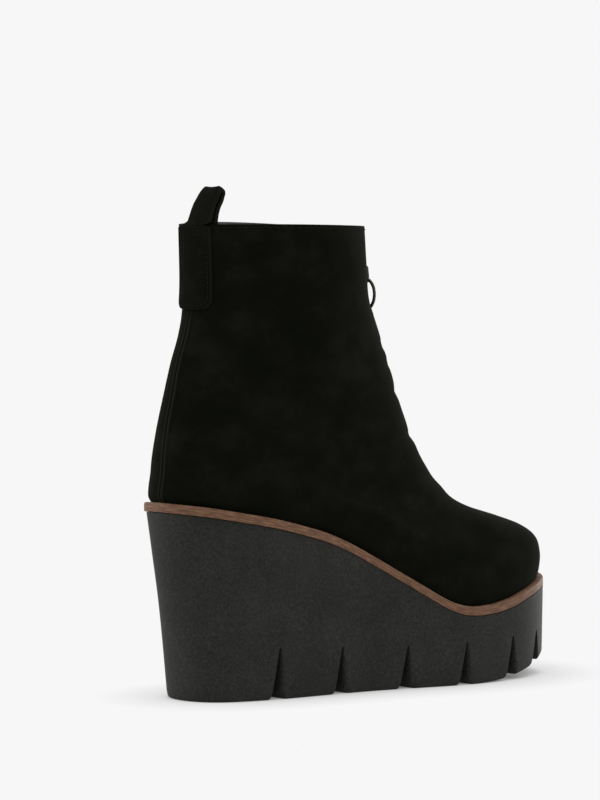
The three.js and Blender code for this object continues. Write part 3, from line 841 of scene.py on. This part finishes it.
def free_loop():
    """Loops of points round the free loop's strip, from the patch over its top and down into the boot."""
    back = float(surface(1.0, 0.0, 1.0)[0])
    outer_leg = [back - loop_thickness / 2, 0, collar_height]
    inner_leg = [back + wall + gap + loop_thickness / 2, 0, collar_height]
    free = [[back + out * loop_reach, 0, collar_height + up * loop_rise] for out, up in loop_line]
    t = np.linspace(0, 1, 81)[:-1]
    middle, lead = catmull([outer_leg, *free, inner_leg], t)
    risen = np.clip((middle[:, 2] - collar_height) / loop_rise, 0, 1)
    # Cover and shift come in just above the collar; past the top the cover goes and the twist comes in
    cover = loop_cover * np.minimum(1, 14 * risen) * np.clip((0.62 - t) / 0.2, 0, 1)
    half = lerp(loop_end, loop_width, np.minimum(1, 1.3 * risen)) / 2 + cover / 2
    shift = lerp(patch_shift, loop_shift, np.minimum(1, 12 * risen)) + cover / 2
    shift = np.where(t < 0.5, shift, loop_shift + cover / 2) + loop_twist * np.clip(2.2 * t - 0.6, 0, 1)
    y = loop_across * half[:, None]
    bend = 0.6 * (sewn(1.0, y, 0, False)[..., 0] - back)
    top = risen[:, None] ** 4
    corner = np.maximum(0, np.abs(loop_across) - 0.7) / 0.3
    drop = top * (loop_sag * (1 - loop_across**2) + loop_corner * corner)
    halves = []
    for side in (1, -1):
        out = side * loop_thickness / 2
        x = middle[:, :1] + bend - out * lead[:, 2:]
        z = middle[:, 2:] + out * lead[:, :1] - drop
        strip = np.stack([x, y - shift[:, None], z], axis=-1)
        halves.append(strip if side > 0 else strip[:, ::-1])
    return np.concatenate(halves, axis=1)


def pull_loop(material):
    corner = patch_bottom + patch_corner * (1 - np.cos(quarter(8)))
    z = np.concatenate([corner, np.linspace(patch_bottom + patch_corner, collar_height - patch_top, 26)[1:]])
    patch = loop_section(z, patch_half(z), patch_depth, lambda y: -patch_gap)
    z = np.linspace(collar_height - gap, collar_height - loop_inside, 10)
    half = np.full(len(z), loop_end / 2)
    inside = wall + gap
    tail = loop_section(z, half, lambda y: inside, lambda y: inside + loop_thickness, loop_shift + loop_twist)
    loops = np.concatenate([patch, free_loop(), tail])
    points, faces = skin(loops, mirror=1)
    made = piece("heel_pull_loop", points, faces, [material])
    # The loop's side edges are painted half lighter: a painted highlight on the folded edges, partly wear.
    edge = np.abs(loop_across) > 0.93
    wear_and_highlight(made, np.tile(np.where(np.append(edge, edge), 0.5, 0), len(loops)))
    soften(made, 0.4)
    dress(made, "suede", "pull_loop")


def patch_depth(y):
    """The patch lies thin on the outer side and stands out more towards the inner side."""
    return -(patch_edge + patch_bulge * (y / patch_width + 0.5))


def patch_stitches(material):
    """A row round the patch, two short rows across it near the collar and one at its foot."""
    low = patch_bottom + patch_stitch
    corner = patch_corner - patch_stitch / 2
    half = patch_stitch_half
    turn = quarter(8)[1:]
    down = np.linspace(collar_height - patch_stitch_top, low + corner, 40)
    side_z = np.concatenate([down, low + corner * (1 - np.sin(turn))])
    side_y = np.concatenate([np.full(len(down), -half), -half + corner * (1 - np.cos(turn))])
    rows = {"round": (np.append(side_z, side_z[::-1]), np.append(side_y, -side_y[::-1]))}
    short = np.linspace(-0.6, 0.3, 20) * half
    for word, drop in patch_row_drops.items():
        rows[word] = (np.full(len(short), collar_height - drop), short)
    for word, (z, y) in rows.items():
        y = y - patch_stitch_shift
        v = back_row(z)
        a, side = angle_at(v, y - patch_shift, False)
        normals = outward(v, a, side)
        top = surface(v, a, side) - normals * patch_depth(y)[:, None]
        stitches("patch_stitches_" + word, top, normals, material, patch_stitch_pitch, patch_stitch_length)


# Midsole, insole and wedge


def last_line():
    """The upper's lower edge: back to front on the outer side, and back along the inner one."""
    a = np.linspace(0, math.pi, 150)
    outer = surface(0.0, a, -1)
    inner = surface(0.0, a[1:-1][::-1], 1)
    return np.concatenate([outer, inner])


def offset_loop(loop, distance):
    """Moves a closed loop sideways in plan, outward where the distance is positive."""
    lead = np.roll(loop, -1, axis=0) - np.roll(loop, 1, axis=0)
    normal = unit(np.stack([lead[:, 1], -lead[:, 0]], axis=1))
    moved = loop.copy()
    moved[:, :2] += normal * np.broadcast_to(distance, len(loop))[:, None]
    return moved


def on_bed(loop, up):
    laid = loop.copy()
    laid[:, 2] = bed_height(loop[:, 0]) + up
    return laid


def midsole(material):
    edge = midsole_thickness / 4
    turn = quarter(5)
    foot = edge / 2
    low = [(welt - foot * (1 - math.sin(t)), foot * (1 - math.cos(t)) - midsole_thickness) for t in turn]
    high = [(welt - edge * (1 - math.cos(t)), -edge * (1 - math.sin(t))) for t in turn]
    profile = low + high + [(-wall, 0)]
    line = last_line()
    loops = np.array([on_bed(offset_loop(line, out), up) for out, up in profile])
    points, faces = skin(loops)
    made = piece("midsole_rand", points, faces, [material])
    lay_uv(made, loops)
    dress(made, "rand_leather", "midsole")


def lay_uv(made, loops):
    """U runs along the edge and V up it, both in metres."""
    along = distances(np.concatenate([loops[0], loops[0][:1]]))
    up = distances(loops[:, 0])
    count = loops.shape[1]
    layer = made.data.uv_layers.new(name="UVMap")
    for face in made.data.polygons:
        wraps = {made.data.loops[k].vertex_index % count for k in face.loop_indices}
        for k in face.loop_indices:
            row, spot = divmod(made.data.loops[k].vertex_index, count)
            if spot == 0 and count - 1 in wraps:
                spot = count
            layer.data[k].uv = (along[spot] / 1000, up[row] / 1000)


def insole(material):
    line = offset_loop(last_line(), -(wall + gap))
    rounding = 1.2
    loops = [on_bed(line, gap)]
    for t in quarter(4):
        inset = -rounding * (1 - math.cos(t))
        loops.append(on_bed(offset_loop(line, inset), gap + insole_thickness - rounding * (1 - math.sin(t))))
    made = piece("insole_sock", *skin(np.array(loops)), [material])
    dress(made, "lining", "insole")


def tread_height(x):
    share = np.maximum(0, (share_along(x) - spring_from) / (1 - spring_from))
    return toe_spring * share**2


def sole_loop(level, inset, up):
    """The wedge's outline at a level, 0 at its top and 1 at the tread, drawn in by a further distance."""
    line = last_line()
    along = share_along(line[:, 0])
    top = offset_loop(line, welt - sole_inset * (1 - along))
    drawn = offset_loop(top, -level * lerp(heel_draft, fore_draft, np.minimum(1, 2 * along)) - inset)
    inward = heel_undercut * float(smooth(heel_levels, heel_inward, level))
    drawn[:, 0] += inward * np.maximum(0, 1 - 2 * along) ** 2
    under = bed_height(top[:, 0]) - midsole_thickness - gap
    drawn[:, 2] = lerp(under, tread_height(drawn[:, 0]), level) + up
    return drawn


def curve(start, control, end):
    """Points of the parabola from start to end that control draws out."""
    t = np.linspace(0, 1, 9)[:, None]
    start, control, end = np.array(start), np.array(control), np.array(end)
    return list((1 - t) ** 2 * start + 2 * t * (1 - t) * control + t * t * end)


def notch_outline(x, apex):
    """A V in side view with a steep front side, a rounded apex, and corners cut back at the floor."""
    ground = float(tread_height(x))
    behind = notch_width * notch_lean
    before = notch_width - behind
    mouth = lerp(apex, ground, notch_straight)
    round_z = apex - notch_radius
    rear = -behind - block_rear
    front = before + block_corner
    # The foot of each side is a curve that is drawn towards the side's corner with the ground
    outline = curve((rear, ground - 1), (-behind - 0.1, ground + 0.4), (-behind * notch_straight, mouth))
    outline += curve((-notch_radius, round_z), (0, apex + notch_radius), (notch_radius / 2, round_z))
    outline += curve((before * notch_straight, mouth), (before + 0.1, ground + 1.4), (front, ground - 1))
    outline += [(front, ground - toe_spring), (rear, ground - toe_spring)]
    return [(x + dx, z) for dx, z in outline]


def loft(points, faces, sections):
    """Adds a solid through sections that each have the same number of points."""
    faces += rod_faces(len(sections), len(sections[0]), first=len(points))
    for section in sections:
        points += section


def notch_sections(at, up, tread_line):
    """Outlines of a notch across the boot, widened towards the toe where it meets the wedge's sides."""
    x = at * midsole_length - welt
    apex = up * platform_height
    outline = notch_outline(x, apex)
    turn = quarter(6)
    steps = [(-ball_width, 1), (ball_width, 1)]
    half = len(tread_line) // 2
    for side, edge in ((-1, tread_line[: half + 1]), (1, tread_line[half:][::-1])):
        face = float(np.interp(x + notch_edge, edge[:, 0], edge[:, 1]))
        steps += [(face - side * notch_edge * (1 - math.cos(t)), 1 - math.sin(t)) for t in turn]
    sections = []
    for y, wide in sorted(steps):
        section = []
        for px, pz in outline:
            opening = np.clip((apex - pz) / apex, 0, 1) if px > x else 0
            section.append((px + wide * notch_edge * opening, y, pz))
        sections.append(section)
    return sections


def tread_cutter(material):
    """The notches, and between them the tread's fine grooves, which stop short of the wedge's sides."""
    points = []
    faces = []
    tread_line = sole_loop(0.9, 0, 0)
    for at, up in notches:
        loft(points, faces, notch_sections(at, up, tread_line))
    line = last_line()
    middle = len(line) // 2 + 1
    for x in np.arange(2 * heel_undercut, last_length - 3 * tread_pitch, tread_pitch):
        if min(abs(x + welt - at * midsole_length) for at, _ in notches) < groove_gap:
            continue
        half = np.interp(x, line[:middle, 0], -line[:middle, 1]) - 2 * heel_draft
        top = float(tread_height(x)) + tread_depth
        foot = top - tread_edge
        groove = [(-tread_groove, foot), (-tread_flat, top), (tread_flat, top), (tread_groove, foot)]
        loft(points, faces, [[(x + dx, y, z) for dx, z in groove] for y in (-half, half)])
    cutter = piece("tread_cutter", points, faces, [material])
    recalculate(cutter)
    return cutter


def outsole(material):
    corner = [
        sole_loop(1, tread_edge * (1 - math.cos(t)), tread_edge * (1 - math.sin(t)))
        for t in quarter(6)[::-1]
    ]
    sides = [sole_loop(level, 0, 0) for level in np.linspace(0.96, 0, 22)]
    made = piece("wedge_sole", *skin(np.array(corner + sides)), [material])
    cutter = tread_cutter(material)
    cut = made.modifiers.new("notches", "BOOLEAN")
    cut.operation = "DIFFERENCE"
    cut.solver = "EXACT"
    cut.object = cutter
    apply_modifiers(made)
    bpy.data.objects.remove(cutter)
    soften(made, 0.4, angle=40)
    dress(made, "wedge_rubber", "outsole")


def apply_modifiers(made):
    finished = bpy.data.meshes.new_from_object(made.evaluated_get(bpy.context.evaluated_depsgraph_get()))
    made.modifiers.clear()
    made.data = finished


# Zip


def zip_side(side, word, tape_look, metal_look):
    """A woven tape behind the wall with its row of metal teeth."""
    behind = wall + gap
    z = np.linspace(collar_height - zip_drop - tape_overlap, collar_height - gap, 70)[:, None]
    split = split_at(z)
    share = np.linspace(0, 1, 8)
    y = side * lerp(gap / 2 + split, tape_half, share)
    v = np.broadcast_to(front_row(z), y.shape)
    face = sewn(v, y, behind, True)
    back = sewn(v, y, behind + tape_thickness, True)
    points, faces = skin(np.concatenate([face, back[:, ::-1]], axis=1), mirror=1)
    made = piece("tape_" + word, points, faces, [tape_look])
    recalculate(made)
    soften(made, 0.2)
    dress(made, "zip_tape", "zip_tape_" + word)
    teeth(side, word, metal_look)


def split_at(z):
    """How far each row of teeth stands off the centre line above the slider."""
    return chain_split * np.clip((z - (collar_height - slider_drop)) / slider_drop, 0, 1)


def teeth(side, word, look):
    """Small nosed blocks, each between two of the other row's."""
    low = collar_height - zip_drop + slot_half + (0 if side < 0 else tooth_pitch / 2)
    foot = np.arange(low, collar_height - gap - tooth_pitch, tooth_pitch)
    z = np.stack([foot, foot + tooth_pitch / 2], axis=1)[:, :, None]
    split = np.broadcast_to(split_at(foot)[:, None, None], z.shape)
    nose = np.where(split == 0, -tooth_cross, split)
    root = chain_half + split
    y = np.concatenate([nose, nose + tooth_taper, root, root, nose + tooth_taper, nose], axis=2)
    inward = np.array([tooth_chamfer, 0, 0, 1, 1, 1 - tooth_chamfer])
    depth = np.broadcast_to(lerp(-chain_proud, wall + gap, inward), y.shape)
    v = np.broadcast_to(front_row(z), y.shape)
    placed = sewn(v, side * np.abs(y), depth, True)
    placed[..., 1] = np.where(y < 0, -placed[..., 1], placed[..., 1])
    faces = []
    for first in range(0, placed.size // 3, 12):
        faces += rod_faces(2, 6, first)
    made = piece("teeth_" + word, placed.reshape(-1, 3), faces, [look])
    recalculate(made)
    made.data.polygons.foreach_set("use_smooth", [False] * len(made.data.polygons))
    soften(made, 0.12, angle=30, segments=1)
    dress(made, "zip_metal")


def slider_frame():
    """Place and lean of the slider: its foot on the teeth, X outward from them and Z up along them."""
    bottom = collar_height - slider_drop - slider_length
    out = -chain_proud - gap
    start, end = [sewn(front_row(z), 0.0, out, True) for z in (bottom, bottom + slider_length)]
    lean = math.atan2(end[0] - start[0], end[2] - start[2])
    turn = np.array([[math.cos(lean), 0, math.sin(lean)], [0, 1, 0], [-math.sin(lean), 0, math.cos(lean)]])
    return start, turn


eye = ring_wire + 2 * ring_clearance + bridge_stand


def slider(look):
    half = chain_half + gap + slider_flange
    outline = [(y * half, z * slider_length) for y, z in slider_half]
    outline += [(-y, z) for y, z in outline[::-1]]
    points = [(x, y, z) for x in (0, slider_thickness) for y, z in outline]
    faces = rod_faces(2, len(outline))
    depth = chain_proud + gap + wall
    flange = (slider_length * flange_from, slider_length * flange_to)
    for side in (-1, 1):
        add_block(points, faces, (-depth, 0), (side * (half - slider_flange), side * half), flange)
    add_bridge(points, faces)
    start, turn = slider_frame()
    made = piece("slider_body", np.array(points, float) @ turn.T + start, faces, [look])
    recalculate(made)
    soften(made, 0.3, angle=25, segments=3)
    dress(made, "zip_metal", "zip_slider")


def arch(out, low, high, cut):
    """One edge of the bridge in side view, out from the plate and back to it, with its corners cut."""
    lower_half = [(slider_thickness, low), (out - cut, low), (out, low + cut)]
    return lower_half + [(x, low + high - z) for x, z in lower_half[::-1]]


def add_bridge(points, faces):
    foot = (slider_length - bridge_length) / 2
    top = foot + bridge_length
    hole = slider_thickness + eye
    outer = arch(hole + bridge_thickness, foot, top, bridge_corner)
    inner = arch(hole, foot + bridge_thickness, top - bridge_thickness, eye_corner)
    count = len(outer)
    edges = (len(points) + np.arange(4 * count)).reshape(4, count).tolist()
    for y in (-bridge_width / 2, bridge_width / 2):
        points += [(x, y, z) for x, z in outer + inner]
    for one, other in ((0, 2), (1, 3), (0, 1), (2, 3)):
        a, b = edges[one], edges[other]
        faces += [[a[k], a[k + 1], b[k + 1], b[k]] for k in range(count - 1)]
    for k in (0, count - 1):
        faces.append([edges[row][k] for row in (0, 1, 3, 2)])


def add_block(points, faces, xs, ys, zs):
    first = len(points)
    points += [(x, y, z) for x in xs for y in ys for z in zs]
    for quad in ((0, 1, 3, 2), (4, 6, 7, 5), (0, 4, 5, 1), (2, 3, 7, 6), (0, 2, 6, 4), (1, 5, 7, 3)):
        faces.append([first + k for k in quad])


def ring_puller(look):
    """The ring hangs straight down from the outer end of the slider's eye."""
    radius = (ring_outer - ring_wire) / 2
    foot = (slider_length - bridge_length) / 2
    rest = ring_clearance + ring_wire / 2
    start, turn = slider_frame()
    centre = start + turn @ np.array([slider_thickness + eye - rest, 0, foot + bridge_thickness + rest])
    centre[2] -= radius
    around = np.linspace(0, 2 * math.pi, 72, endpoint=False)
    loops = []
    for t in np.linspace(0, 2 * math.pi, 21):
        r = radius + ring_wire / 2 * math.cos(t)
        x = np.full(around.shape, ring_wire / 2 * math.sin(t))
        loops.append(centre + np.stack([x, r * np.cos(around), r * np.sin(around)], axis=1))
    made = piece("puller_ring", np.concatenate(loops), grid_faces(21, 72, wrap=True, flip=True), [look])
    merge_doubles(made)
    dress(made, "zip_metal", "zip_ring", body="ring")


# Studio


def camera():
    data = bpy.data.cameras.new("camera")
    data.sensor_fit = "HORIZONTAL"
    data.sensor_width = 36
    data.lens = camera_lens
    data.clip_end = 20
    made = add_object("camera", data)
    made.location = camera_place
    made.rotation_euler = (math.radians(90 - camera_fall), 0, math.radians(camera_turn))
    bpy.context.scene.camera = made


def floor():
    """A wide floor that glows as pale as the background, with a painted contact shadow that darkens it only
    where the sole comes near it.
    """
    reach = 30
    corners = [(-reach, -reach, 0), (reach, -reach, 0), (reach, reach, 0), (-reach, reach, 0)]
    mesh = bpy.data.meshes.new("floor")
    mesh.from_pydata(corners, [], [(0, 1, 2, 3)])
    made = add_object("floor", mesh)
    shade = Shader("floor_painted_shadow", Roughness=1.0, Specular_IOR_Level=0.0, Emission_Strength=1.0)
    shade.paint((0, 0, 0, 1))
    # Painted contact shadow: the floor's glow darkens with ambient occlusion near the sole.
    near = shade.node("ShaderNodeAmbientOcclusion", Distance=0.05)
    near.samples = 24
    painted_shadow_greys = [(0, 90, 89), (0.35, 170, 169), (0.62, 224, 224), (0.95, backdrop, backdrop)]
    tones = [(open_share, srgb(grey, grey, blue)) for open_share, grey, blue in painted_shadow_greys]
    shade.feed(shade.surface.inputs["Emission Color"], shade.ramp(near.outputs["AO"], tones))
    mesh.materials.append(shade.material)


def softbox(name, place, size, power):
    data = bpy.data.lights.new(name, "AREA")
    data.shape = "RECTANGLE"
    data.size, data.size_y = size
    data.energy = power
    made = add_object(name, data)
    made.location = place
    toward = np.array(light_aim) - np.array(place)
    flat = math.hypot(toward[0], toward[1])
    made.rotation_euler = (math.atan2(flat, -toward[2]), 0, math.atan2(-toward[0], toward[1]))


def studio():
    world = bpy.data.worlds.new("studio")
    world.use_nodes = True
    bpy.context.scene.world = world
    world.node_tree.nodes["Background"].inputs["Color"].default_value = srgb(backdrop, backdrop, backdrop)
    bpy.context.scene.view_settings.view_transform = "Standard"
    for box in softboxes:
        softbox(*box)
    floor()
    camera()


studio()
suede_look = suede()
lining_look = lining()
thread_look = thread_material()
metal_look = zip_metal()
tape_look = zip_tape()
upper([suede_look, lining_look])
collar_stitches(thread_look)
slot_stitches(thread_look)
pull_loop(suede_look)
patch_stitches(thread_look)
midsole(rand_leather())
insole(lining_look)
outsole(wedge_rubber())
for side, word in both_sides:
    zip_side(side, word, tape_look, metal_look)
slider(metal_look)
ring_puller(metal_look)
